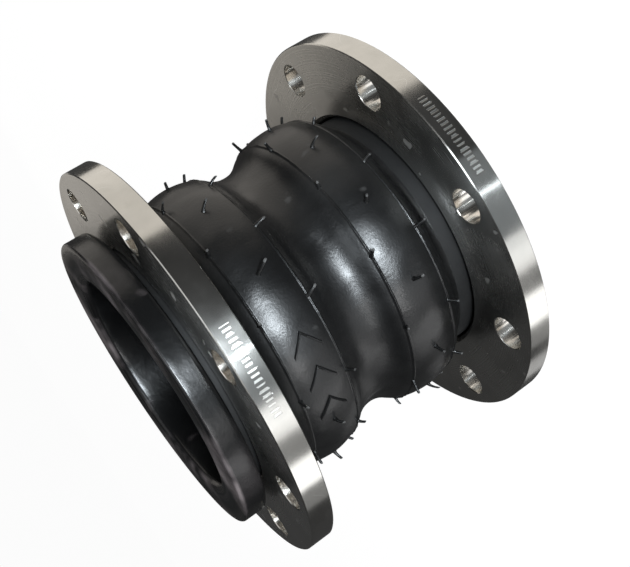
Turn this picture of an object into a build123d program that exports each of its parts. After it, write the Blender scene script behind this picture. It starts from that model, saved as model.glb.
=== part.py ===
"""Twin-arch rubber expansion joint, nominal bore 150 mm, with two loose stainless flanges.

The joint stands upright on its lower sealing face: end B is the lower end and end A the upper
one. The origin is the centre of the lower sealing face, +Z is the bellows' own axis, and all
sizes are in millimetres. The rubber body is one vulcanised piece. Its layers (outer cover,
cord plies, inner liner) are cut at the mould's parting lines, where the body flexes, so that
each stretch can follow its own rigid body.
"""

from math import asin, atan, cos, degrees, sin
import os

from build123d import *

# Overall sizes
FACE_TO_FACE = 225.0
BODY_DIA = 202.0
WAIST_DIA = 176.0

# Loose flanges
FLANGE_DIA = 280.0
FLANGE_THICK = 16.0
FLANGE_RIM_CHAMFER = 0.6
FLANGE_BORE_CHAMFER = 2.5
BOLT_CIRCLE_DIA = 240.0
BOLT_COUNT = 8
BOLT_HOLE_DIA = 23.0
BOLT_HOLE_CHAMFER = 0.4
NECK_CLEARANCE = 2.0
SEAT_CLEARANCE = 0.3
FLANGE_A_DROP = 5.4

# Neck and bead of the rubber body
NECK_DIA = 172.0
NECK_LENGTH = 24.5
BEAD_DIA = 207.0
BEAD_THICK = 17.0
BEAD_FACE_RADIUS = 2.0
BEAD_BACK_RADIUS = 3.5
BORE_LIP_RADIUS = 4.5

# Arches: widths run along the axis, between the parting lines
ARCH_WIDTH = 33.5
CROWN_RADIUS = 45.0
SHOULDER_WIDTH = 15.0
SHOULDER_RADIUS = 16.0
FLANK_RADIUS = 20.0

# Layers of the wall, from the outside in
COVER_THICK = 4.0
PLY_THICK = 3.5
LINER_THICK = 2.5

# Ribs that the mould leaves at its parting lines
RIB_WIDTH = 0.8
RIB_HEIGHT = 0.8
RIB_ROOT = 1.0

# Steel wire rings moulded into the rubber
BEAD_WIRE_DIA = 1.9
ROOT_WIRE_DIA = 2.0
ROOT_WIRE_COUNT = 5
WIRE_GAP = 0.1
RING_CLEARANCE = 0.1

# Places and sizes that follow from the values above
WALL_THICK = COVER_THICK + PLY_THICK + LINER_THICK
BODY_R = BODY_DIA / 2
WAIST_R = WAIST_DIA / 2
NECK_R = NECK_DIA / 2
BORE_R = NECK_R - WALL_THICK
BEAD_R = BEAD_DIA / 2
FLANGE_R = FLANGE_DIA / 2
FLANGE_BORE_R = NECK_R + NECK_CLEARANCE
MIDDLE_Z = FACE_TO_FACE / 2
SHOULDER_Z = BEAD_THICK + NECK_LENGTH
OUTER_LINE_Z = SHOULDER_Z + SHOULDER_WIDTH
INNER_LINE_Z = OUTER_LINE_Z + ARCH_WIDTH
VALLEY_HALF_WIDTH = MIDDLE_Z - INNER_LINE_Z
FLANGE_B_LOW = BEAD_THICK + SEAT_CLEARANCE
FLANGE_A_LOW = FACE_TO_FACE - BEAD_THICK - FLANGE_A_DROP - FLANGE_THICK

CROWN_HALF_ANGLE = asin(ARCH_WIDTH / 2 / CROWN_RADIUS)
LINE_R = BODY_R - CROWN_RADIUS * (1 - cos(CROWN_HALF_ANGLE))

# Bead section: radii of its inner parts, and their distances in from the sealing face
PLY_INNER_R = BORE_R + LINER_THICK
FILLER_INNER_R = PLY_INNER_R + PLY_THICK
PLY_OUTER_R = BEAD_R - COVER_THICK
FILLER_OUTER_R = PLY_OUTER_R - PLY_THICK
FILLER_NEAR = LINER_THICK + PLY_THICK
FILLER_FAR = BEAD_THICK - COVER_THICK
BUNDLE_R = BEAD_WIRE_DIA * 1.5 + WIRE_GAP
BUNDLE_MID_R = (FILLER_INNER_R + FILLER_OUTER_R) / 2
BUNDLE_MID_Z = (FILLER_NEAR + FILLER_FAR) / 2

# Root ring: a flat band of wires side by side in the middle of the cover, at the waist
ROOT_BAND_R = WAIST_R - COVER_THICK / 2
ROOT_PITCH = ROOT_WIRE_DIA + WIRE_GAP
ROOT_BAND_WIDTH = ROOT_WIRE_COUNT * ROOT_PITCH


def double_bend(width, drop, convex_radius):
    """The steepest slope and the hollow radius of a round shoulder that runs into a hollow.

    The shoulder starts at the crown's edge slope. The hollow ends parallel to the axis, width
    further along and drop lower.
    """
    run = width + convex_radius * sin(CROWN_HALF_ANGLE)
    fall = drop + convex_radius * (1 - cos(CROWN_HALF_ANGLE))
    slope = 2 * atan(fall / run)
    return slope, run / sin(slope) - convex_radius


NECK_SLOPE, NECK_HOLLOW = double_bend(SHOULDER_WIDTH, LINE_R - NECK_R, SHOULDER_RADIUS)
WAIST_SLOPE, WAIST_HOLLOW = double_bend(VALLEY_HALF_WIDTH, LINE_R - WAIST_R, FLANK_RADIUS)


def end_plane(end):
    """A drawing plane with radius across, and distance in from this end's sealing face up."""
    if end == "b":
        return Plane.XZ
    return Plane(origin=(0, 0, FACE_TO_FACE), x_dir=(1, 0, 0), z_dir=(0, 1, 0))


# ---- The wall of the body, layer by layer ----


def wall_line(depth):
    """One meridian of the wall, this far under its outer surface, from neck B up to neck A."""
    radius = NECK_R - depth
    arch = [
        (SHOULDER_RADIUS - depth, NECK_SLOPE - CROWN_HALF_ANGLE),
        (CROWN_RADIUS - depth, 2 * CROWN_HALF_ANGLE),
        (FLANK_RADIUS - depth, WAIST_SLOPE - CROWN_HALF_ANGLE),
    ]
    neck_hollow = [(NECK_HOLLOW + depth, -NECK_SLOPE)]
    waist_hollow = [(WAIST_HOLLOW + depth, -2 * WAIST_SLOPE)]
    run = Line((radius, BEAD_THICK), (radius, SHOULDER_Z))
    for bend_radius, turn in neck_hollow + arch + waist_hollow + arch[::-1] + neck_hollow:
        run = JernArc(run @ 1, run % 1, bend_radius, degrees(turn))
    Line(run @ 1, (radius, FACE_TO_FACE - BEAD_THICK))


def layer_section(outer_depth, inner_depth):
    """The cross-section of one layer of the wall, from bead to bead."""
    with BuildSketch(Plane.XZ) as section:
        with BuildLine():
            wall_line(outer_depth)
            wall_line(inner_depth)
            for z in (BEAD_THICK, FACE_TO_FACE - BEAD_THICK):
                Line((NECK_R - inner_depth, z), (NECK_R - outer_depth, z))
        make_face()
    return section.sketch


def keep_between(low, high):
    """Cut the part that is being built off below low and above high."""
    split(bisect_by=Plane.XY.offset(low), keep=Keep.TOP)
    split(bisect_by=Plane.XY.offset(high), keep=Keep.BOTTOM)


def rib_section(z, upwards):
    """Half of the rib at a parting line: the half that stands above or below the line."""
    with BuildSketch(Plane.XZ) as section:
        with Locations((LINE_R - RIB_ROOT, z)):
            side = Align.MIN if upwards else Align.MAX
            Rectangle(RIB_ROOT + RIB_HEIGHT, RIB_WIDTH, align=(Align.MIN, side))
    return section.sketch


LAYERS = {
    "cover": (0, COVER_THICK),
    "plies": (COVER_THICK, COVER_THICK + PLY_THICK),
    "liner": (COVER_THICK + PLY_THICK, WALL_THICK),
}


def wall_piece(layer, low, high):
    """One layer of the wall between two heights, with its halves of the parting ribs."""
    with BuildPart() as piece:
        revolve(layer_section(*LAYERS[layer]), axis=Axis.Z)
        keep_between(low, high)
        if layer == "cover":
            revolve(rib_section(low, upwards=True), axis=Axis.Z)
            revolve(rib_section(high, upwards=False), axis=Axis.Z)
    return piece.part


# ---- The bead at each end ----


def block(inner_r, outer_r, near, far, mode=Mode.ADD):
    """A rectangle in an end's section: two radii, and two distances in from the face."""
    with Locations((inner_r, near)):
        Rectangle(outer_r - inner_r, far - near, align=(Align.MIN, Align.MIN), mode=mode)


def liner_bead(end):
    """The liner's turn out of the bore, over the whole sealing face."""
    with BuildSketch(end_plane(end)) as section:
        block(BORE_R, BEAD_R, 0, LINER_THICK)
        block(BORE_R, PLY_INNER_R, 0, BEAD_THICK)
        face_corners = section.vertices().group_by(Axis.Y)[0].sort_by(Axis.X)
        fillet(face_corners[0], radius=BORE_LIP_RADIUS)
        fillet(face_corners[-1], radius=BEAD_FACE_RADIUS)
    return section.sketch


def ply_bead(end):
    """The plies' turn round the filler: along the bore, over the face side and the rim."""
    with BuildSketch(end_plane(end)) as section:
        block(PLY_INNER_R, PLY_OUTER_R, LINER_THICK, FILLER_FAR)
        block(PLY_INNER_R, FILLER_INNER_R, LINER_THICK, BEAD_THICK)
        block(FILLER_INNER_R, FILLER_OUTER_R, FILLER_NEAR, FILLER_FAR, mode=Mode.SUBTRACT)
    return section.sketch


def cover_bead(end):
    """The cover over the bead's rim and its back, down to the neck."""
    with BuildSketch(end_plane(end)) as section:
        block(FILLER_INNER_R, BEAD_R, LINER_THICK, BEAD_THICK)
        back_corners = section.vertices().group_by(Axis.Y)[-1].sort_by(Axis.X)
        fillet(back_corners[-1], radius=BEAD_BACK_RADIUS)
        block(FILLER_INNER_R, PLY_OUTER_R, LINER_THICK, FILLER_FAR, mode=Mode.SUBTRACT)
    return section.sketch


BEAD_SECTIONS = {"cover": cover_bead, "plies": ply_bead, "liner": liner_bead}


def collar_piece(layer, end):
    """One layer of the stretch from the bead to the first parting line."""
    low, high = BEAD_THICK, OUTER_LINE_Z
    if end == "a":
        low, high = FACE_TO_FACE - high, FACE_TO_FACE - low
    with BuildPart() as piece:
        revolve(layer_section(*LAYERS[layer]), axis=Axis.Z)
        keep_between(low, high)
        revolve(BEAD_SECTIONS[layer](end), axis=Axis.Z)
        if layer == "cover":
            line_z = high if end == "b" else low
            revolve(rib_section(line_z, upwards=end == "a"), axis=Axis.Z)
    return piece.part


def bead_filler(end):
    """The hard rubber ring inside the bead, with the tunnel that its wires lie in."""
    with BuildPart() as filler:
        with BuildSketch(end_plane(end)) as section:
            block(FILLER_INNER_R, FILLER_OUTER_R, FILLER_NEAR, FILLER_FAR)
            with Locations((BUNDLE_MID_R, BUNDLE_MID_Z)):
                Circle(BUNDLE_R + RING_CLEARANCE, mode=Mode.SUBTRACT)
        revolve(axis=Axis.Z)
    return filler.part


def bead_wires(end):
    """Seven steel hoops in the bead: one in the middle and six round it."""
    pitch = BEAD_WIRE_DIA + WIRE_GAP
    with BuildPart() as wires:
        with BuildSketch(end_plane(end)):
            with Locations((BUNDLE_MID_R, BUNDLE_MID_Z)):
                Circle(BEAD_WIRE_DIA / 2)
                with PolarLocations(pitch, 6):
                    Circle(BEAD_WIRE_DIA / 2)
        revolve(axis=Axis.Z)
    return wires.part


# ---- The waist's root ring ----


def root_band(clearance=0.0):
    """The flat space of the root ring's wires, with this much room all round."""
    with BuildSketch(Plane.XZ) as section:
        with Locations((ROOT_BAND_R, MIDDLE_Z)):
            Rectangle(ROOT_WIRE_DIA + 2 * clearance, ROOT_BAND_WIDTH + 2 * clearance)
    return section.sketch


def waist_cover():
    """The cover between the two inner parting lines, with the root ring's tunnel."""
    with BuildPart() as cover:
        add(wall_piece("cover", INNER_LINE_Z, FACE_TO_FACE - INNER_LINE_Z))
        revolve(root_band(RING_CLEARANCE), axis=Axis.Z, mode=Mode.SUBTRACT)
    return cover.part


def root_ring():
    """The steel hoops that keep the waist from swelling under pressure."""
    with BuildPart() as ring:
        with BuildSketch(Plane.XZ):
            with Locations((ROOT_BAND_R, MIDDLE_Z)):
                with GridLocations(0, ROOT_PITCH, 1, ROOT_WIRE_COUNT):
                    Circle(ROOT_WIRE_DIA / 2)
        revolve(axis=Axis.Z)
    return ring.part


# ---- The loose flanges ----


def loose_flange(low_z):
    """A flat ring flange whose bore clears the neck and whose holes straddle the X and Y axes."""
    with BuildPart() as flange:
        with BuildSketch(Plane.XY.offset(low_z)):
            Circle(FLANGE_R)
            Circle(FLANGE_BORE_R, mode=Mode.SUBTRACT)
            with PolarLocations(BOLT_CIRCLE_DIA / 2, BOLT_COUNT, start_angle=180 / BOLT_COUNT):
                Circle(BOLT_HOLE_DIA / 2, mode=Mode.SUBTRACT)
        extrude(amount=FLANGE_THICK)
        rings = flange.edges().filter_by(GeomType.CIRCLE).group_by(SortBy.RADIUS)
        chamfer(rings[-1], length=FLANGE_RIM_CHAMFER)
        rings = flange.edges().filter_by(GeomType.CIRCLE).group_by(SortBy.RADIUS)
        chamfer(rings[0], length=BOLT_HOLE_CHAMFER)
        bore_edges = flange.edges().filter_by(
            lambda edge: edge.geom_type == GeomType.CIRCLE
            and abs(edge.radius - FLANGE_BORE_R) < BOLT_HOLE_CHAMFER
        )
        chamfer(bore_edges, length=FLANGE_BORE_CHAMFER)
    return flange.part


# ---- Every piece of the assembly ----


def all_pieces():
    """Each piece under the name of its node."""
    stretches = {
        "arch_b": (OUTER_LINE_Z, INNER_LINE_Z),
        "waist": (INNER_LINE_Z, FACE_TO_FACE - INNER_LINE_Z),
        "arch_a": (FACE_TO_FACE - INNER_LINE_Z, FACE_TO_FACE - OUTER_LINE_Z),
    }
    pieces = {
        "flange_a": loose_flange(FLANGE_A_LOW),
        "flange_b": loose_flange(FLANGE_B_LOW),
        "root_ring": root_ring(),
    }
    for end in ("a", "b"):
        pieces[f"bead_filler_{end}"] = bead_filler(end)
        pieces[f"bead_wires_{end}"] = bead_wires(end)
        for layer in LAYERS:
            pieces[f"{layer}_collar_{end}"] = collar_piece(layer, end)
    for stretch, (low, high) in stretches.items():
        for layer in LAYERS:
            pieces[f"{layer}_{stretch}"] = wall_piece(layer, low, high)
    pieces["cover_waist"] = waist_cover()
    return pieces


os.makedirs("parts", exist_ok=True)
for name, part in all_pieces().items():
    part.label = name
    export_step(part, f"parts/{name}.step")
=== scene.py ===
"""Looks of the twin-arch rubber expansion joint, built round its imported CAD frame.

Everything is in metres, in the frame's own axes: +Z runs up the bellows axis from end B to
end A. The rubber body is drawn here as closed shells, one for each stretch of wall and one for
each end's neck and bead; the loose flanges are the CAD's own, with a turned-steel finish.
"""

from math import asin, atan, cos, pi, radians, sin, tau

import bmesh
import bpy
import numpy as np
from mathutils import Matrix, Vector

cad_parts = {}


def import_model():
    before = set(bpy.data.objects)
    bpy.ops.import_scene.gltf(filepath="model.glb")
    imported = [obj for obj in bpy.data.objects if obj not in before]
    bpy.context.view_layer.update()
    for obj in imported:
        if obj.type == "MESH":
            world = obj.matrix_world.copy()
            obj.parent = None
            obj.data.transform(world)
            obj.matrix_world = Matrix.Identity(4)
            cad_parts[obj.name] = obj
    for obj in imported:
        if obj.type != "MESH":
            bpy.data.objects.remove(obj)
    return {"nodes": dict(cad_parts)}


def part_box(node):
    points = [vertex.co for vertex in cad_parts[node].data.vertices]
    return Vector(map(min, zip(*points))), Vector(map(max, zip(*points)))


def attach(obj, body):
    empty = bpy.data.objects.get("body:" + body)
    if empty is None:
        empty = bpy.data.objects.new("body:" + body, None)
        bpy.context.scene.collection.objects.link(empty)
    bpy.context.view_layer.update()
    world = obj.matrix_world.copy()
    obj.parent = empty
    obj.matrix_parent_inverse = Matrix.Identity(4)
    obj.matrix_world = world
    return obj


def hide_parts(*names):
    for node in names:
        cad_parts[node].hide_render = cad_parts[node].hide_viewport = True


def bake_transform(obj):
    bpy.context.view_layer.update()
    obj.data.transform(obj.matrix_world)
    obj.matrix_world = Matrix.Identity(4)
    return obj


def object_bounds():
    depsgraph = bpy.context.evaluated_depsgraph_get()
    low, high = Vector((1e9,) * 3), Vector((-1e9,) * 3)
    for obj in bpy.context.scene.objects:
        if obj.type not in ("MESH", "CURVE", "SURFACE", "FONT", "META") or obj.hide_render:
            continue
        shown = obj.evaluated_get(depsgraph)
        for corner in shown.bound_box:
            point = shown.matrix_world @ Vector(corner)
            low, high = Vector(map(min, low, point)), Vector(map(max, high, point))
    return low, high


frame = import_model()
CAD_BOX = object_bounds()
MM = 0.001

# ---- Sizes, from the frame where it has them ----

FACE_TO_FACE = CAD_BOX[1][2] - CAD_BOX[0][2]
MIDDLE_Z = FACE_TO_FACE / 2
FLANGE_A_LOW, FLANGE_A_TOP = (corner[2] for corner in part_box("flange_a"))
FLANGE_B_LOW, FLANGE_B_TOP = (corner[2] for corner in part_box("flange_b"))
FLANGE_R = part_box("flange_a")[1][0]
BODY_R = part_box("cover_arch_a")[1][0]
BEAD_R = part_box("liner_collar_a")[1][0]
OUTER_LINE_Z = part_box("cover_arch_b")[0][2]
INNER_LINE_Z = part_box("cover_arch_b")[1][2]
ARCH_WIDTH = INNER_LINE_Z - OUTER_LINE_Z

# Sizes of the wall that no node's box gives
NECK_R = 86 * MM
WAIST_R = 88 * MM
WALL = 10 * MM
BEAD_THICK = 17 * MM
SHOULDER_WIDTH = 15 * MM
SHOULDER_Z = OUTER_LINE_Z - SHOULDER_WIDTH
CROWN_RADIUS = 45 * MM
SHOULDER_RADIUS = 16 * MM
FLANK_RADIUS = 20 * MM
BORE_R = NECK_R - WALL
CROWN_B_Z = (OUTER_LINE_Z + INNER_LINE_Z) / 2
CROWN_A_Z = FACE_TO_FACE - CROWN_B_Z
CROWN_HALF_ANGLE = asin(ARCH_WIDTH / 2 / CROWN_RADIUS)
LINE_R = BODY_R - CROWN_RADIUS * (1 - cos(CROWN_HALF_ANGLE))

RINGS_ROUND = 288
ROW_STEP = 1.3 * MM


# ---- The wall's outline ----


def double_bend(width, drop, convex_radius):
    """The steepest slope and the hollow radius of a shoulder that runs into a hollow."""
    run = width + convex_radius * sin(CROWN_HALF_ANGLE)
    fall = drop + convex_radius * (1 - cos(CROWN_HALF_ANGLE))
    slope = 2 * atan(fall / run)
    return slope, run / sin(slope) - convex_radius


def arc_chain():
    """The half outline as arcs from the neck to the waist: (radius of bend, turn), left is +."""
    neck_slope, neck_hollow = double_bend(SHOULDER_WIDTH, LINE_R - NECK_R, SHOULDER_RADIUS)
    valley = MIDDLE_Z - INNER_LINE_Z
    waist_slope, waist_hollow = double_bend(valley, LINE_R - WAIST_R, FLANK_RADIUS)
    half = [
        (neck_hollow, -neck_slope),
        (SHOULDER_RADIUS, neck_slope - CROWN_HALF_ANGLE),
        (CROWN_RADIUS, 2 * CROWN_HALF_ANGLE),
        (FLANK_RADIUS, waist_slope - CROWN_HALF_ANGLE),
        (waist_hollow, -waist_slope),
    ]
    return half + half[::-1]


def outline():
    """The outer surface from shoulder to shoulder, finely sampled: rows of z, radius, slope.

    The slope is the angle between the surface and the axis, positive where the body widens
    towards +Z.
    """
    z, r, slope = SHOULDER_Z, NECK_R, 0.0
    rows = [(z, r, slope)]
    for bend_radius, turn in arc_chain():
        steps = max(8, int(abs(turn) * bend_radius / (0.1 * MM)))
        for _ in range(steps):
            part = turn / steps
            chord = 2 * bend_radius * sin(abs(part) / 2)
            heading = slope - part / 2
            z += chord * cos(heading)
            r += chord * sin(heading)
            slope -= part
            rows.append((z, r, slope))
    return np.array(rows)


OUTLINE = outline()


def wall_at(z, depth=0.0):
    """Radius and slope of the outer surface at a height; depth goes in square to the surface."""
    z = np.asarray(z, float)
    r = np.interp(z, OUTLINE[:, 0], OUTLINE[:, 1])
    slope = np.interp(z, OUTLINE[:, 0], OUTLINE[:, 2])
    return z + depth * np.sin(slope), r - depth * np.cos(slope), slope


# ---- Drawing the rubber ----

RIB_HEIGHT = 0.75 * MM
RIB_SPREAD = 0.55 * MM
WAVE_HEIGHT = 0.16 * MM
SINK = 0.6 * MM
PARTING_LINES = (
    OUTER_LINE_Z,
    INNER_LINE_Z,
    FACE_TO_FACE - INNER_LINE_Z,
    FACE_TO_FACE - OUTER_LINE_Z,
)


def wave_set(seed, count, lowest, highest):
    """Seeded ripples for the moulded surface: whole numbers of waves round, any along Z."""
    rng = np.random.default_rng(seed)
    round_waves = rng.integers(lowest, highest, count)
    along = rng.uniform(-1, 1, count) * highest / BODY_R
    phase = rng.uniform(0, tau, count)
    return round_waves, along, phase


MOULD_WAVES = wave_set(4, 26, 3, 34)
RIB_WAVES = wave_set(9, 18, 5, 90)


def waves(angle, z, wave_data):
    """A smooth random height of about -1 to 1 at each angle and height."""
    total = np.zeros(np.broadcast(angle, z).shape)
    for round_waves, along, phase in zip(*wave_data):
        total += np.sin(round_waves * angle + along * z + phase)
    return total / (len(wave_data[0]) ** 0.5 * 1.6)


def rib_height(z, angle):
    """How far the ribs at the parting lines stand out at this height and angle."""
    ragged = 1 + 0.28 * waves(angle, 0 * z, RIB_WAVES)
    near = sum(np.exp(-(((z - line) / RIB_SPREAD) ** 2)) for line in PARTING_LINES)
    return RIB_HEIGHT * ragged * near


def row_heights(low, high):
    """Heights of the mesh rows between two cuts: even along the wall, fine at ribs and cuts."""
    inside = OUTLINE[(OUTLINE[:, 0] >= low - 1e-9) & (OUTLINE[:, 0] <= high + 1e-9)]
    run = np.concatenate([[0], np.cumsum(np.hypot(*np.diff(inside[:, :2], axis=0).T))])
    even = np.linspace(0, run[-1], int(run[-1] / ROW_STEP))
    heights = list(np.interp(even, run, inside[:, 0]))
    for line in PARTING_LINES:
        fine = line + np.linspace(-3, 3, 17) * RIB_SPREAD
        if low < line < high:
            heights = [h for h in heights if abs(h - line) > 3.6 * RIB_SPREAD] + list(fine)
    edge = 0.2 * MM
    heights = [h for h in heights if low + 2 * edge < h < high - 2 * edge]
    return np.array(sorted(heights + [low, low + edge, high - edge, high]))


def revolved(bm, section, displaced):
    """Sweep a closed section of (z, radius) points round the axis into a bmesh.

    displaced is a function of the section's index, the angles and the height, which gives how
    far each point of that ring stands out.
    """
    angles = np.arange(RINGS_ROUND) * tau / RINGS_ROUND
    rings = []
    for index, (z, r) in enumerate(section):
        radius = r + displaced(index, angles, z)
        ring = [
            bm.verts.new((q * cos(a), q * sin(a), z)) for q, a in zip(radius, angles)
        ]
        rings.append(ring)
    for ring, after in zip(rings, rings[1:] + rings[:1]):
        for i in range(RINGS_ROUND):
            j = (i + 1) % RINGS_ROUND
            bm.faces.new((ring[i], ring[j], after[j], after[i]))


def finished(name, bm, materials):
    """A smooth-shaded object of a bmesh, with sharp edges kept and its rest place stored."""
    bmesh.ops.recalc_face_normals(bm, faces=bm.faces)
    mesh = bpy.data.meshes.new(name)
    bm.to_mesh(mesh)
    bm.free()
    mesh.polygons.foreach_set("use_smooth", [True] * len(mesh.polygons))
    mesh.set_sharp_from_angle(angle=radians(48))
    rest = mesh.attributes.new("rest", "FLOAT_VECTOR", "POINT")
    points = np.empty(len(mesh.vertices) * 3, np.float32)
    mesh.vertices.foreach_get("co", points)
    rest.data.foreach_set("vector", points)
    for material in materials:
        mesh.materials.append(material)
    piece = bpy.data.objects.new(name, mesh)
    bpy.context.scene.collection.objects.link(piece)
    return piece


def wall_shell(bm, low, high):
    """The closed shell of the wall between two heights: cover outside, liner inside."""
    outer = row_heights(low, high)
    _, outer_r, _ = wall_at(outer)
    inner_z, inner_r, _ = wall_at(outer[::2] if len(outer) % 2 else outer, WALL)
    inner_z[0], inner_z[-1] = low, high
    section = list(zip(outer, outer_r)) + list(zip(inner_z, inner_r))[::-1]

    def displaced(index, angles, z):
        ripple = WAVE_HEIGHT * waves(angles, z, MOULD_WAVES)
        if index < len(outer):
            return ripple + rib_height(z, angles)
        return ripple

    revolved(bm, section, displaced)


# ---- Vent spews ----

SPEWS_ROUND = 12
SPEW_R = 1.05 * MM
SPEW_SIDES = 8
SPEW_LEAN = (0.15, -0.4)
# Share of the length, and width as a share of SPEW_R: a flared foot, then a rounded tip
SPEW_PROFILE = (
    (0.0, 1.55),
    (0.12, 1.15),
    (0.3, 1.0),
    (0.6, 0.92),
    (0.9, 0.9),
    (0.985, 0.72),
    (1.0, 0.3),
)
TIP_STEP = 4
CROWN_SPEW_OFFSET = 1.2 * MM


def spew(bm, angle, z, length, lean, tip_material=1):
    """One rubber pip: it leaves the surface on a small foot, leans and bends a little."""
    _, r, slope = wall_at(z)
    out = Vector((cos(angle) * cos(slope), sin(angle) * cos(slope), -sin(slope)))
    along = Vector((0, 0, 1)).cross(out).normalized()
    up = out.cross(along)
    foot = Vector((r * cos(angle), r * sin(angle), z)) - out * SINK
    rings = []
    for share, wide in SPEW_PROFILE:
        bend = (along * lean[0] + up * lean[1]) * share**1.6 * length
        centre = foot + out * (share * length + SINK * (1 - share)) + bend
        ring = []
        for k in range(SPEW_SIDES):
            turn = tau * k / SPEW_SIDES
            side = along * cos(turn) + up * sin(turn)
            ring.append(bm.verts.new(centre + side * SPEW_R * wide))
        rings.append(ring)
    for step, (ring, after) in enumerate(zip(rings, rings[1:])):
        for k in range(SPEW_SIDES):
            m = (k + 1) % SPEW_SIDES
            face = bm.faces.new((ring[k], ring[m], after[m], after[k]))
            face.material_index = tip_material if step >= TIP_STEP else 0
    bm.faces.new(rings[0][::-1])
    bm.faces.new(rings[-1]).material_index = tip_material


def spew_ring(bm, z, start_angle, seed, skip=()):
    """A ring of spews at one height, each a little different; skip holds places left bare."""
    rng = np.random.default_rng(seed)
    for k in range(SPEWS_ROUND):
        length = rng.uniform(5.5, 9.5) * MM
        lean = rng.uniform(-0.4, 0.4, 2) + SPEW_LEAN
        shift = rng.uniform(-1, 1) * radians(0.8)
        if k not in skip:
            spew(bm, start_angle + k * tau / SPEWS_ROUND + shift, z, length, lean)


# ---- Raised mark on arch A: three plain chevrons ----

MARK_HEIGHT = 1.5 * MM
MARK_WIDTH = 2.6 * MM
MARK_REACH = 9.5 * MM
MARK_STEPS = 14
MARK_ANGLES = [radians(a) for a in (216, 229, 242)]
MARK_SECTION = (
    (-1.0, -0.6),
    (-0.92, 0.35),
    (-0.6, 0.85),
    (0.0, 1.0),
    (0.6, 0.85),
    (0.92, 0.35),
    (1.0, -0.6),
)


def chevron_leg(bm, angle, z_from, z_to, sweep):
    """One leg of a chevron: it runs from z_from to z_to while it turns by sweep."""
    rings = []
    for step in range(MARK_STEPS + 1):
        share = step / MARK_STEPS
        z = z_from + (z_to - z_from) * share
        _, r, _ = wall_at(z)
        centre = angle + sweep * share
        end_fade = 0.75 + 0.25 * min(1, (1 - share) * 4)
        ring = []
        for across, up in MARK_SECTION:
            a = centre + across * MARK_WIDTH / 2 / r
            q = r + up * MARK_HEIGHT * end_fade
            ring.append(bm.verts.new((q * cos(a), q * sin(a), z)))
        rings.append(ring)
    count = len(MARK_SECTION)
    for ring, after in zip(rings, rings[1:]):
        for k in range(count):
            m = (k + 1) % count
            bm.faces.new((ring[k], ring[m], after[m], after[k]))
    bm.faces.new(rings[0][::-1])
    bm.faces.new(rings[-1])


# ---- The bead and neck at each end ----

BEAD_BACK_FILLET = 2 * MM
BEAD_BACK_RADIUS = 3.5 * MM
BEAD_FACE_RADIUS = 2 * MM
BORE_LIP_RADIUS = 4.5 * MM


def quarter(centre_z, centre_r, radius, start, end, steps=6):
    """Points of an arc in the (z, radius) section; angles in degrees from +radius to +z."""
    spread = np.radians(np.linspace(start, end, steps + 1))
    return [(centre_z + radius * sin(t), centre_r + radius * cos(t)) for t in spread]


def straight(start, end, step=2.5 * MM):
    """Points between two corners of the section, without the corners themselves."""
    (z0, r0), (z1, r1) = start, end
    count = max(1, int(np.hypot(z1 - z0, r1 - r0) / step))
    shares = np.arange(1, count) / count
    return [(z0 + (z1 - z0) * t, r0 + (r1 - r0) * t) for t in shares]


def collar_section():
    """The closed section of neck and bead, for end B, from the outer cut round to the bore."""
    corner = [
        [(SHOULDER_Z, NECK_R), (SHOULDER_Z - 0.2 * MM, NECK_R)],
        quarter(
            BEAD_THICK + BEAD_BACK_FILLET, NECK_R + BEAD_BACK_FILLET, BEAD_BACK_FILLET, 180, 270
        ),
        quarter(BEAD_THICK - BEAD_BACK_RADIUS, BEAD_R - BEAD_BACK_RADIUS, BEAD_BACK_RADIUS, 90, 0),
        quarter(BEAD_FACE_RADIUS, BEAD_R - BEAD_FACE_RADIUS, BEAD_FACE_RADIUS, 0, -90),
        quarter(BORE_LIP_RADIUS, BORE_R + BORE_LIP_RADIUS, BORE_LIP_RADIUS, -90, -180),
        [(SHOULDER_Z - 0.2 * MM, BORE_R), (SHOULDER_Z, BORE_R)],
    ]
    section = list(corner[0])
    for part in corner[1:]:
        section += straight(section[-1], part[0]) + part
    return section


def collar_shell(bm, end):
    """Neck and bead as one closed shell."""
    section = collar_section()
    if end == "a":
        section = [(FACE_TO_FACE - z, r) for z, r in section]

    def displaced(index, angles, z):
        near_face = min(1, abs(z - (0 if end == "b" else FACE_TO_FACE)) / (3 * MM))
        return WAVE_HEIGHT * waves(angles, z, MOULD_WAVES) * (0.35 + 0.65 * near_face)

    revolved(bm, section, displaced)


# ---- Materials ----


def new_material(name):
    """An empty node material with its principled shader wired to the output."""
    material = bpy.data.materials.new(name)
    material.use_nodes = True
    tree = material.node_tree
    tree.nodes.clear()
    shader = tree.nodes.new("ShaderNodeBsdfPrincipled")
    output = tree.nodes.new("ShaderNodeOutputMaterial")
    tree.links.new(shader.outputs[0], output.inputs[0])
    return material, tree, shader


def wire(tree, value, socket):
    """Feed a socket from another socket, or set it to a constant."""
    if isinstance(value, bpy.types.NodeSocket):
        tree.links.new(value, socket)
    else:
        socket.default_value = value


def maths(tree, operation, *values):
    """A maths node on sockets or numbers."""
    node = tree.nodes.new("ShaderNodeMath")
    node.operation = operation
    for value, socket in zip(values, node.inputs):
        wire(tree, value, socket)
    return node.outputs[0]


def times(tree, first, second):
    """The product of two sockets or numbers."""
    return maths(tree, "MULTIPLY", first, second)


def plus(tree, first, second):
    """The sum of two sockets or numbers."""
    return maths(tree, "ADD", first, second)


def remap(tree, value, low, high, to_low=0.0, to_high=1.0, smooth=True):
    """Map low..high to to_low..to_high, held at the ends."""
    node = tree.nodes.new("ShaderNodeMapRange")
    node.interpolation_type = "SMOOTHSTEP" if smooth else "LINEAR"
    for value, socket in zip((value, low, high, to_low, to_high), node.inputs):
        wire(tree, value, socket)
    return node.outputs[0]


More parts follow.
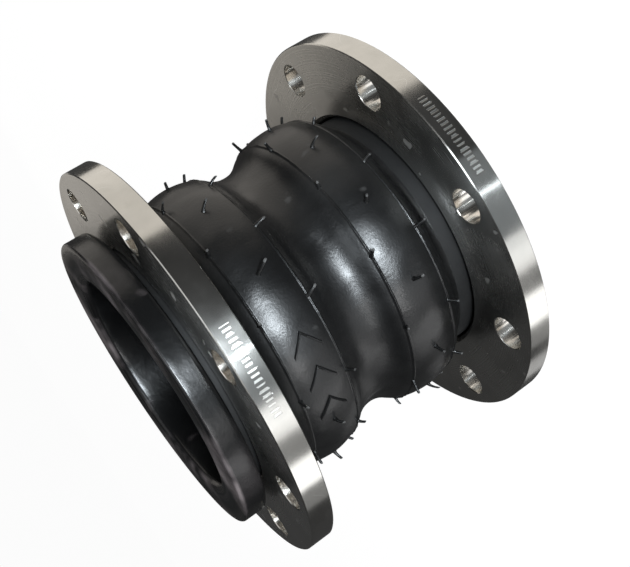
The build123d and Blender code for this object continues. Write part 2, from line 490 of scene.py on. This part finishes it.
def mixed(tree, share, first, second):
    """A colour between two colours."""
    node = tree.nodes.new("ShaderNodeMix")
    node.data_type = "RGBA"
    wire(tree, share, node.inputs[0])
    for colour, socket in ((first, node.inputs[6]), (second, node.inputs[7])):
        wire(tree, colour if isinstance(colour, bpy.types.NodeSocket) else (*colour, 1), socket)
    return node.outputs[2]


def noise(tree, point, scale, detail=3.0, roughness=0.55, stretch=None):
    """Noise at a point; stretch scales the point first."""
    if stretch:
        mapping = tree.nodes.new("ShaderNodeMapping")
        tree.links.new(point, mapping.inputs[0])
        mapping.inputs["Scale"].default_value = stretch
        point = mapping.outputs[0]
    node = tree.nodes.new("ShaderNodeTexNoise")
    tree.links.new(point, node.inputs["Vector"])
    node.inputs["Scale"].default_value = scale
    node.inputs["Detail"].default_value = detail
    node.inputs["Roughness"].default_value = roughness
    return node.outputs[0]


def scratches(tree, point, scale, width, stretch):
    """Thin lines where a stretched noise crosses its middle: 1 on the line, 0 off it."""
    field = noise(tree, point, scale, 1.5, 0.5, stretch)
    away = maths(tree, "ABSOLUTE", maths(tree, "SUBTRACT", field, 0.5))
    return remap(tree, away, 0.0, width, 1.0, 0.0)


def bump(tree, shader, height, distance, strength=1.0, after=None):
    """Push the shading normal by a height map."""
    node = tree.nodes.new("ShaderNodeBump")
    node.inputs["Strength"].default_value = strength
    node.inputs["Distance"].default_value = distance
    tree.links.new(height, node.inputs["Height"])
    if after:
        tree.links.new(after, node.inputs["Normal"])
    tree.links.new(node.outputs[0], shader.inputs["Normal"])
    return node.outputs[0]


def rest_point(tree):
    """The point where the rubber lay before it moved."""
    node = tree.nodes.new("ShaderNodeAttribute")
    node.attribute_name = "rest"
    return node.outputs["Vector"]


def polar(tree, point):
    """The coordinates of a point and its radius about the axis: x, y, z, radius."""
    split = tree.nodes.new("ShaderNodeSeparateXYZ")
    tree.links.new(point, split.inputs[0])
    x, y, z = split.outputs
    squares = plus(tree, times(tree, x, x), times(tree, y, y))
    radius = maths(tree, "SQRT", squares)
    return x, y, z, radius


def rubber(name, colour, dusty, rough, speck):
    """Moulded rubber: flow marks, fine pores, wiped dust and small scuffs."""
    material, tree, shader = new_material(name)
    point = rest_point(tree)
    flow = noise(tree, point, 28, 4, 0.6, (1, 1, 0.35))
    blotch = noise(tree, point, 9, 3, 0.5)
    grain = noise(tree, point, 620, 3, 0.6)
    dust = times(tree, remap(tree, blotch, 0.38, 0.72), remap(tree, flow, 0.35, 0.75))
    rub = remap(tree, noise(tree, point, 75, 2, 0.5, (1, 1, 0.6)), 0.70, 0.78)
    grime = plus(tree, times(tree, dust, 0.12), times(tree, rub, 0.3))
    tree.links.new(mixed(tree, grime, colour, dusty), shader.inputs["Base Color"])
    spread = plus(tree, remap(tree, flow, 0.3, 0.75, *rough), times(tree, rub, 0.12))
    tree.links.new(spread, shader.inputs["Roughness"])
    shader.inputs["Specular IOR Level"].default_value = 0.5
    ripple = noise(tree, point, 60, 3, 0.6, (1, 1, 0.5))
    wide = bump(tree, shader, ripple, 0.0005, 0.5)
    bump(tree, shader, grain, 0.00018, speck, after=wide)
    return material


NECK_DULLNESS = 0.4


def face_dust(name, colour, dusty, rough):
    """The bead's rubber: bloom on the sealing face, with ring marks left by the mould plate."""
    material, tree, shader = new_material(name)
    point = rest_point(tree)
    _, _, z, radius = polar(tree, point)
    from_middle = maths(tree, "ABSOLUTE", maths(tree, "SUBTRACT", z, MIDDLE_Z))
    on_face = remap(tree, from_middle, MIDDLE_Z - 3.5 * MM, MIDDLE_Z - 0.4 * MM)
    on_rim = remap(tree, radius, BEAD_R - 4 * MM, BEAD_R - 1.5 * MM)
    patch = remap(tree, noise(tree, point, 13, 4, 0.6), 0.47, 0.70)
    rings = scratches(tree, maths_vector(tree, radius), 300, 0.02, (1, 1, 1))
    bloom = times(tree, maths(tree, "MAXIMUM", on_face, times(tree, on_rim, 0.08)), patch)
    scuff = remap(tree, noise(tree, point, 60, 2, 0.5, (1, 1, 0.5)), 0.66, 0.76)
    grime = plus(tree, times(tree, bloom, 0.75), times(tree, scuff, 0.12))
    grime = plus(tree, grime, times(tree, times(tree, rings, on_face), 0.08))
    tree.links.new(mixed(tree, grime, colour, dusty), shader.inputs["Base Color"])
    # the neck: outside the bore and well inside the bead's rim
    past_bore = remap(tree, radius, BORE_R + 5 * MM, BORE_R + 6 * MM)
    inside_bead = remap(tree, radius, BEAD_R - 4 * MM, NECK_R + 2 * MM)
    dull = times(tree, past_bore, inside_bead)
    spread = plus(tree, times(tree, grime, 0.25), times(tree, dull, NECK_DULLNESS))
    tree.links.new(plus(tree, spread, rough), shader.inputs["Roughness"])
    shader.inputs["Specular IOR Level"].default_value = 0.38
    flow = bump(tree, shader, noise(tree, point, 70, 3, 0.6), 0.0005, 0.6)
    bump(tree, shader, noise(tree, point, 800, 2, 0.5), 0.00004, 0.5, after=flow)
    return material


def maths_vector(tree, value):
    """A point whose X is a value: for a texture that runs along that value alone."""
    node = tree.nodes.new("ShaderNodeCombineXYZ")
    tree.links.new(value, node.inputs[0])
    return node.outputs[0]


FEED_PITCH = 0.45 * MM
# Degrees from one etched bar to the next, and how far the shortest and longest reach
BAR_PITCH = 1.25
BAR_HALF_HEIGHTS = (1.8 * MM, 3.4 * MM)
ANISOTROPY = 0.6
# A quarter turn: the highlight spreads across the turning lines
ANISOTROPY_TURN = 0.25


def etched_bars(tree, place, mark_z, mark_from, mark_to):
    """Mask of a row of plain bars, of uneven height and spacing, between two azimuths."""
    x, y, z = place
    turn = times(tree, maths(tree, "ARCTAN2", y, x), 360 / tau)
    pitch = noise(tree, maths_vector(tree, turn), 0.9, 1, 0.5)
    phase = plus(tree, times(tree, turn, tau / BAR_PITCH), times(tree, pitch, 5))
    bars = remap(tree, maths(tree, "SINE", phase), 0.05, 0.4)
    past_start = maths(tree, "GREATER_THAN", turn, mark_from)
    before_end = maths(tree, "LESS_THAN", turn, mark_to)
    reach = remap(tree, pitch, 0.3, 0.7, *BAR_HALF_HEIGHTS)
    offset = maths(tree, "ABSOLUTE", maths(tree, "SUBTRACT", z, mark_z))
    bars = times(tree, bars, maths(tree, "LESS_THAN", offset, reach))
    return times(tree, bars, times(tree, past_start, before_end))


def turned_steel(name, mark_z, mark_from, mark_to):
    """Stainless ring turned on a lathe: fine rings on faces and rim, drilled bright holes.

    A row of plain etched bars is marked on the rim between two azimuths, in degrees.
    """
    material, tree, shader = new_material(name)
    coordinates = tree.nodes.new("ShaderNodeTexCoord").outputs["Object"]
    x, y, z, radius = polar(tree, coordinates)
    shader.inputs["Metallic"].default_value = 1.0
    # where the surface is: flat face, outer rim, bore or bolt-hole wall
    normal = tree.nodes.new("ShaderNodeNewGeometry").outputs["True Normal"]
    own = tree.nodes.new("ShaderNodeVectorTransform")
    own.vector_type = "NORMAL"
    own.convert_from, own.convert_to = "WORLD", "OBJECT"
    tree.links.new(normal, own.inputs[0])
    split = tree.nodes.new("ShaderNodeSeparateXYZ")
    tree.links.new(own.outputs[0], split.inputs[0])
    facing = maths(tree, "ABSOLUTE", split.outputs[2])
    flat = remap(tree, facing, 0.85, 0.95)
    rim = remap(tree, radius, FLANGE_R - 1.5 * MM, FLANGE_R - 0.8 * MM)
    # lathe rings: by radius on the faces, by height on the rim
    by_radius = noise(tree, maths_vector(tree, radius), 900, 4, 0.65)
    by_height = times(tree, noise(tree, maths_vector(tree, z), 700, 4, 0.6), rim)
    feed = maths(tree, "SINE", times(tree, radius, tau / FEED_PITCH))
    ring_height = plus(tree, times(tree, feed, 0.10), by_radius)
    chosen = tree.nodes.new("ShaderNodeMix")
    chosen.data_type = "FLOAT"
    wire(tree, flat, chosen.inputs[0])
    wire(tree, by_height, chosen.inputs[2])
    wire(tree, ring_height, chosen.inputs[3])
    # handling: cloudy wipe marks, a few scratches, darker heat-stained patches
    cloud = noise(tree, coordinates, 17, 4, 0.6)
    smear = noise(tree, coordinates, 45, 3, 0.55, (1, 0.3, 1))
    nicks = scratches(tree, coordinates, 38, 0.004, (1, 0.2, 1))
    nicks = times(tree, nicks, remap(tree, noise(tree, coordinates, 12, 2, 0.5), 0.52, 0.6))
    base = mixed(tree, remap(tree, cloud, 0.3, 0.72), (0.52, 0.515, 0.49), (0.66, 0.65, 0.62))
    base = mixed(tree, times(tree, remap(tree, smear, 0.55, 0.8), 0.35), base, (0.42, 0.42, 0.39))
    base = mixed(tree, times(tree, nicks, 0.5), base, (0.85, 0.85, 0.83))
    hole_wall = maths(tree, "SUBTRACT", 1.0, maths(tree, "MAXIMUM", flat, rim))
    base = mixed(tree, hole_wall, base, (0.80, 0.77, 0.72))
    smudge = times(tree, remap(tree, noise(tree, coordinates, 90, 1, 0.5), 0.69, 0.73), flat)
    base = mixed(tree, times(tree, smudge, 0.6), base, (0.85, 0.83, 0.8))
    bars = times(tree, etched_bars(tree, (x, y, z), mark_z, mark_from, mark_to), rim)
    base = mixed(tree, times(tree, bars, 0.35), base, (0.8, 0.8, 0.78))
    tree.links.new(base, shader.inputs["Base Color"])
    rough = remap(tree, cloud, 0.3, 0.75, 0.19, 0.29)
    rough = plus(tree, rough, times(tree, remap(tree, by_radius, 0.3, 0.7), 0.05))
    rough = maths(tree, "SUBTRACT", rough, times(tree, hole_wall, 0.04))
    rough = maths(tree, "SUBTRACT", rough, times(tree, rim, 0.08))
    rough = plus(tree, rough, times(tree, plus(tree, bars, smudge), 0.15))
    tree.links.new(rough, shader.inputs["Roughness"])
    shader.inputs["Anisotropic"].default_value = ANISOTROPY
    shader.inputs["Anisotropic Rotation"].default_value = ANISOTROPY_TURN
    tangent = tree.nodes.new("ShaderNodeTangent")
    tangent.direction_type = "RADIAL"
    tangent.axis = "Z"
    tree.links.new(tangent.outputs[0], shader.inputs["Tangent"])
    wide = bump(tree, shader, cloud, 0.0006, 0.12)
    fine = bump(tree, shader, chosen.outputs[0], 0.00006, 0.28, after=wide)
    across = tree.nodes.new("ShaderNodeCombineXYZ")
    tree.links.new(x, across.inputs[0])
    tree.links.new(y, across.inputs[1])
    reamed = times(tree, noise(tree, across.outputs[0], 200, 0.0, 0.4), hole_wall)
    fine = bump(tree, shader, reamed, 0.0006, 0.5, after=fine)
    bump(tree, shader, maths(tree, "SUBTRACT", 1.0, bars), 0.0003, 0.8, after=fine)
    return material


def plain_rubber(name, colour, other):
    """Inner rubber that only a cut would show: two tones in a fine mottle."""
    material, tree, shader = new_material(name)
    point = tree.nodes.new("ShaderNodeTexCoord").outputs["Object"]
    mottle = noise(tree, point, 120, 4, 0.6)
    tone = mixed(tree, remap(tree, mottle, 0.35, 0.65), colour, other)
    tree.links.new(tone, shader.inputs["Base Color"])
    tree.links.new(remap(tree, mottle, 0.3, 0.7, 0.55, 0.8), shader.inputs["Roughness"])
    bump(tree, shader, noise(tree, point, 600, 2, 0.5), 0.00005, 0.6)
    return material


def drawn_wire(name):
    """Drawn steel wire: fine lines round the hoop."""
    material, tree, shader = new_material(name)
    point = tree.nodes.new("ShaderNodeTexCoord").outputs["Object"]
    _, _, z, radius = polar(tree, point)
    lines = noise(tree, maths_vector(tree, plus(tree, radius, z)), 4000, 3, 0.6)
    tone = mixed(tree, lines, (0.42, 0.36, 0.26), (0.62, 0.55, 0.42))
    tree.links.new(tone, shader.inputs["Base Color"])
    shader.inputs["Metallic"].default_value = 1.0
    tree.links.new(remap(tree, lines, 0.3, 0.7, 0.25, 0.45), shader.inputs["Roughness"])
    bump(tree, shader, lines, 0.00002, 0.5)
    return material


BLACK = (0.0035, 0.0035, 0.0036)
DUST = (0.07, 0.068, 0.066)
COVER = rubber("cover_rubber", BLACK, DUST, (0.29, 0.42), 0.6)
TIPS = plain_rubber("spew_tip_rubber", (0.02, 0.02, 0.02), (0.07, 0.068, 0.066))
COLLAR = face_dust("bead_rubber", BLACK, (0.26, 0.22, 0.22), 0.26)
FILLER = plain_rubber("filler_rubber", (0.03, 0.03, 0.03), (0.06, 0.058, 0.055))
WIRE = drawn_wire("steel_wire")
STEEL_A = turned_steel("stainless_a", (FLANGE_A_LOW + FLANGE_A_TOP) / 2, -127, -104)
STEEL_B = turned_steel("stainless_b", (FLANGE_B_LOW + FLANGE_B_TOP) / 2, -107, -84)


# ---- The pieces ----


def stretch(name, low, high, spew_rings=(), chevrons=()):
    """One stretch of the wall with its spews and its share of the raised mark."""
    bm = bmesh.new()
    wall_shell(bm, low, high)
    for z, start_angle, seed, skip in spew_rings:
        spew_ring(bm, z, start_angle, seed, skip)
    for angle, z_to, sweep in chevrons:
        chevron_leg(bm, angle, CROWN_A_Z, z_to, sweep)
    piece = finished(name, bm, (COVER, TIPS))
    return piece


def collar(end):
    """The bead and neck of one end, riding its body whole."""
    bm = bmesh.new()
    collar_shell(bm, end)
    piece = finished(f"collar_{end}_rubber", bm, (COLLAR,))
    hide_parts(f"cover_collar_{end}", f"plies_collar_{end}", f"liner_collar_{end}")
    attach(piece, f"collar_{end}")


LINE_ANGLE = radians(10)
CROWN_ANGLE = radians(25.5)
SHOULDER_A_Z = FACE_TO_FACE - SHOULDER_Z
MARK_SWEEP = radians(-7)

collar("b")
collar("a")

tilt_b = stretch(
    "tilt_zone_b",
    SHOULDER_Z,
    CROWN_B_Z,
    [(OUTER_LINE_Z, LINE_ANGLE, 21, ())],
)
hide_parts("cover_arch_b", "plies_arch_b", "liner_arch_b")
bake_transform(tilt_b)

squeeze_b = stretch(
    "squeeze_zone_b",
    CROWN_B_Z,
    MIDDLE_Z,
    [(CROWN_B_Z + CROWN_SPEW_OFFSET, CROWN_ANGLE, 22, ()), (INNER_LINE_Z, LINE_ANGLE, 23, ())],
)
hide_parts("cover_waist", "plies_waist", "liner_waist")
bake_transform(squeeze_b)

squeeze_a = stretch(
    "squeeze_zone_a",
    MIDDLE_Z,
    CROWN_A_Z,
    [(FACE_TO_FACE - INNER_LINE_Z, LINE_ANGLE, 24, ())],
    [(a, CROWN_A_Z - MARK_REACH, MARK_SWEEP) for a in MARK_ANGLES],
)
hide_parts("cover_waist", "plies_waist", "liner_waist")
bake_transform(squeeze_a)

tilt_a = stretch(
    "tilt_zone_a",
    CROWN_A_Z,
    SHOULDER_A_Z,
    [
        (CROWN_A_Z + CROWN_SPEW_OFFSET, CROWN_ANGLE, 25, (7,)),
        (FACE_TO_FACE - OUTER_LINE_Z, LINE_ANGLE, 26, ()),
    ],
    [(a, CROWN_A_Z + MARK_REACH, MARK_SWEEP) for a in MARK_ANGLES],
)
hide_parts("cover_arch_a", "plies_arch_a", "liner_arch_a")
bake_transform(tilt_a)

CAD_FINISH = {
    "flange_a": STEEL_A,
    "flange_b": STEEL_B,
    "bead_filler_a": FILLER,
    "bead_filler_b": FILLER,
    "bead_wires_a": WIRE,
    "bead_wires_b": WIRE,
    "root_ring": WIRE,
}
for node, finish in CAD_FINISH.items():
    mesh = frame["nodes"][node].data
    mesh.materials.clear()
    mesh.materials.append(finish)


# ---- Camera ----


def direction(around, above):
    """A unit direction from its azimuth and elevation."""
    return Vector((cos(around) * cos(above), sin(around) * cos(above), sin(above)))


CAMERA_AROUND = radians(-104.92)
CAMERA_ABOVE = radians(16.80)
CAMERA_ROLL = radians(123.56)
CAMERA_DISTANCE = 650.5 * MM
CAMERA_TARGET = Vector((-15.4, 4.4, 113.5)) * MM
CAMERA_SHIFT = (0.0167, 0.0490)


def camera():
    """The camera at the photograph's angle, rolled so that end A points down and to the left."""
    data = bpy.data.cameras.new("camera")
    data.lens = 55.77
    data.sensor_width = 36
    data.shift_x, data.shift_y = CAMERA_SHIFT
    data.clip_start, data.clip_end = 0.01, 50
    look = bpy.data.objects.new("camera", data)
    bpy.context.scene.collection.objects.link(look)
    back = direction(CAMERA_AROUND, CAMERA_ABOVE)
    level_up = (Vector((0, 0, 1)) - back * back.z).normalized()
    level_right = level_up.cross(back)
    up = level_up * cos(CAMERA_ROLL) + level_right * sin(CAMERA_ROLL)
    right = up.cross(back)
    place = CAMERA_TARGET + back * CAMERA_DISTANCE
    turned = Matrix((right, up, back)).transposed().to_4x4()
    look.matrix_world = Matrix.Translation(place) @ turned
    bpy.context.scene.camera = look


camera()


# ---- Floor, world and lights ----

MIDDLE = Vector((0, 0, MIDDLE_Z))


def softbox(name, around, above, distance, size, brightness, colour=(1, 1, 1)):
    """A rectangular soft light aimed at the middle of the object."""
    data = bpy.data.lights.new(name, "AREA")
    data.shape = "RECTANGLE"
    data.size, data.size_y = size
    data.energy = brightness * pi * size[0] * size[1]
    data.color = colour
    light = bpy.data.objects.new(name, data)
    away = direction(radians(around), radians(above))
    light.location = MIDDLE + away * distance
    light.rotation_mode = "QUATERNION"
    light.rotation_quaternion = away.to_track_quat("Z", "Y")
    bpy.context.scene.collection.objects.link(light)


def floor():
    """A wide pale floor just under the object, that reads as a white ground."""
    bm = bmesh.new()
    bmesh.ops.create_grid(bm, x_segments=1, y_segments=1, size=6)
    mesh = bpy.data.meshes.new("floor")
    bm.to_mesh(mesh)
    bm.free()
    ground = bpy.data.objects.new("floor", mesh)
    ground.location.z = -0.5 * MM
    ground.visible_glossy = False
    ground.visible_diffuse = False
    ground.visible_shadow = False
    material, _, shader = new_material("floor_white")
    shader.inputs["Base Color"].default_value = (0.1, 0.1, 0.1, 1)
    shader.inputs["Roughness"].default_value = 0.9
    shader.inputs["Specular IOR Level"].default_value = 0.0
    shader.inputs["Emission Color"].default_value = (1, 1, 1, 1)
    shader.inputs["Emission Strength"].default_value = PAPER[0]
    mesh.materials.append(material)
    bpy.context.scene.collection.objects.link(ground)


def world():
    """White behind everything for the camera, and a dim grey room for reflections."""
    scene_world = bpy.data.worlds.new("studio")
    bpy.context.scene.world = scene_world
    scene_world.use_nodes = True
    tree = scene_world.node_tree
    tree.nodes.clear()
    shader = tree.nodes.new("ShaderNodeBackground")
    output = tree.nodes.new("ShaderNodeOutputWorld")
    tree.links.new(shader.outputs[0], output.inputs[0])
    path = tree.nodes.new("ShaderNodeLightPath")
    seen = mixed(tree, path.outputs["Is Camera Ray"], ROOM_GREY, PAPER)
    tree.links.new(seen, shader.inputs["Color"])


ROOM_GREY = (0.05, 0.05, 0.05)
PAPER = (0.97, 0.97, 0.97)
WARM = (1.0, 0.94, 0.86)
COOL = (0.86, 0.94, 1.0)
world()
floor()
softbox("window", -114, 11, 1.2, (0.36, 0.26), 80, COOL)
softbox("window_left", -150, 10, 1.3, (0.34, 0.24), 10)
softbox("window_high", -98, 52, 1.3, (0.4, 0.4), 5, COOL)
softbox("strip", -116, -5, 1.4, (0.035, 1.7), 5.0, COOL)
softbox("band_left", -152, -15, 1.4, (0.44, 1.3), 1.0)
softbox("band_far_left", -186, -15, 1.4, (0.44, 1.3), 1.8)
softbox("fill_cool", -127, -15, 1.8, (1.9, 1.6), 0.24, COOL)
softbox("fill_left", -182, -15, 1.8, (2.0, 1.6), 0.26)
softbox("band_back", 128, -30, 1.4, (0.40, 0.6), 0.5)
softbox("panel_warm", -12, -14, 1.4, (1.9, 1.7), 0.9, WARM)
softbox("panel_far", 50, 14, 1.6, (0.6, 0.7), 0.42, WARM)
softbox("overhead", -60, 78, 1.8, (1.4, 1.4), 0.75)

bpy.context.scene.view_settings.view_transform = "Standard"
